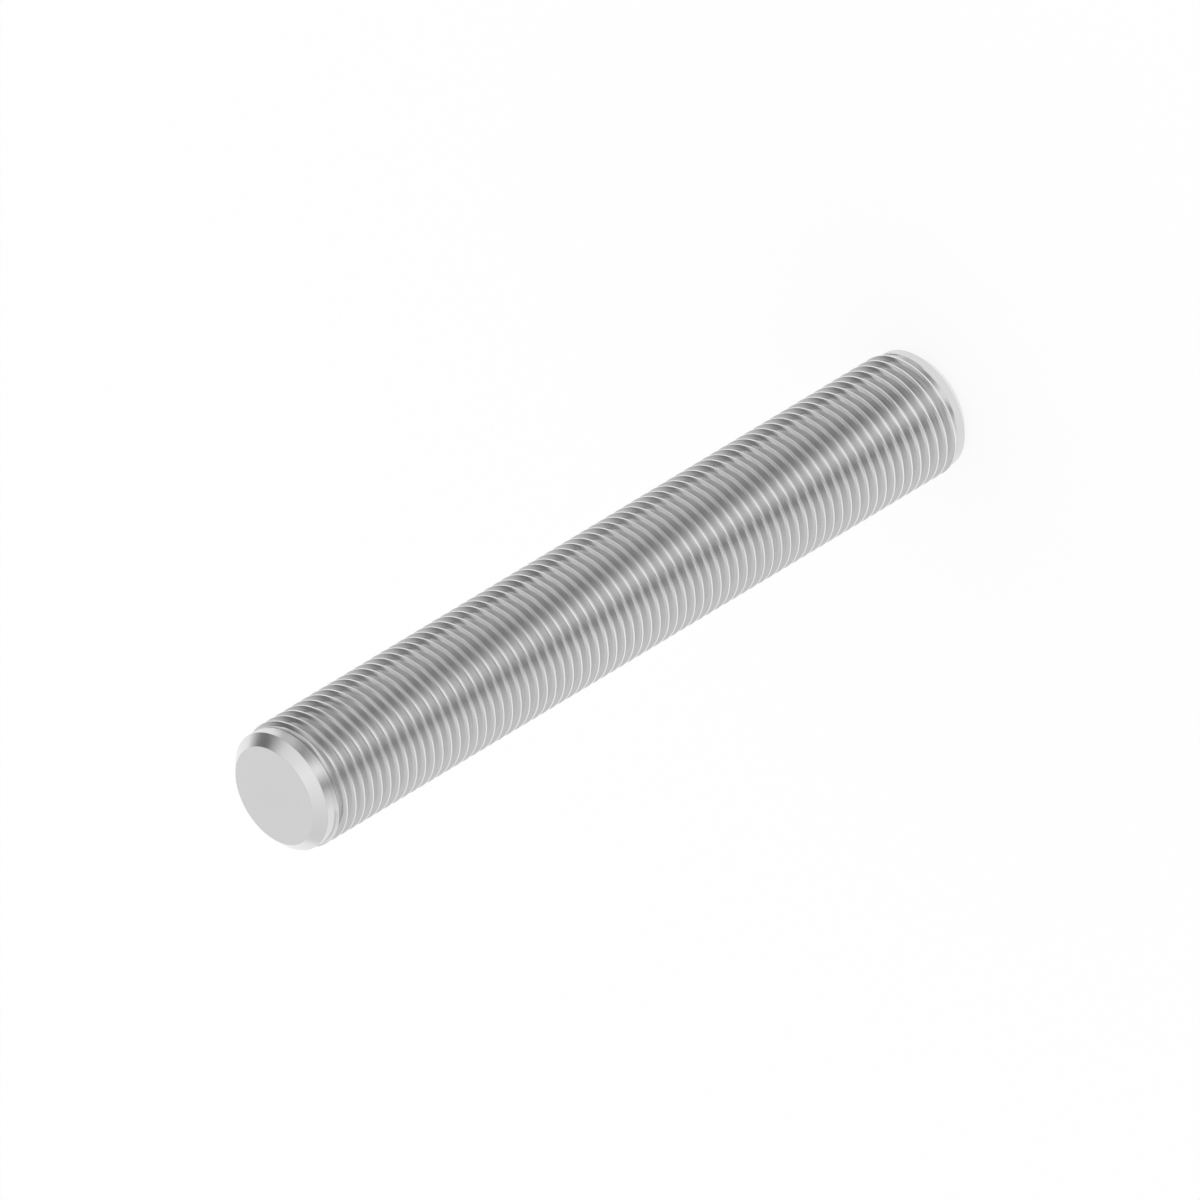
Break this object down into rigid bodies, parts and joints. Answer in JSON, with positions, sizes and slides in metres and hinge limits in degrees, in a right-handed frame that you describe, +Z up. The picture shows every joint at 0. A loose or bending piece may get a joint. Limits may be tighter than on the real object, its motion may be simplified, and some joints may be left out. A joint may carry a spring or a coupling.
{
  "type": "stud bolt",
  "caption": "Steel stud bolt threaded along its whole length, with a flat chamfered end and a short plain collar at each end.",
  "frame": {"origin": "middle of the lower end face, on which the stud stands", "axes": "+Z up along the stud's axis, from the lower end face to the upper one; the stud is round, so X and Y are free"},
  "size_m": [0.033, 0.033, 0.225],
  "materials": {
    "steel": "bright rolled and turned steel, satin, with fine marks running round the thread and the end faces"
  },
  "bodies": {
    "root": {"stud_bolt": "steel"}
  },
  "joints": []
}
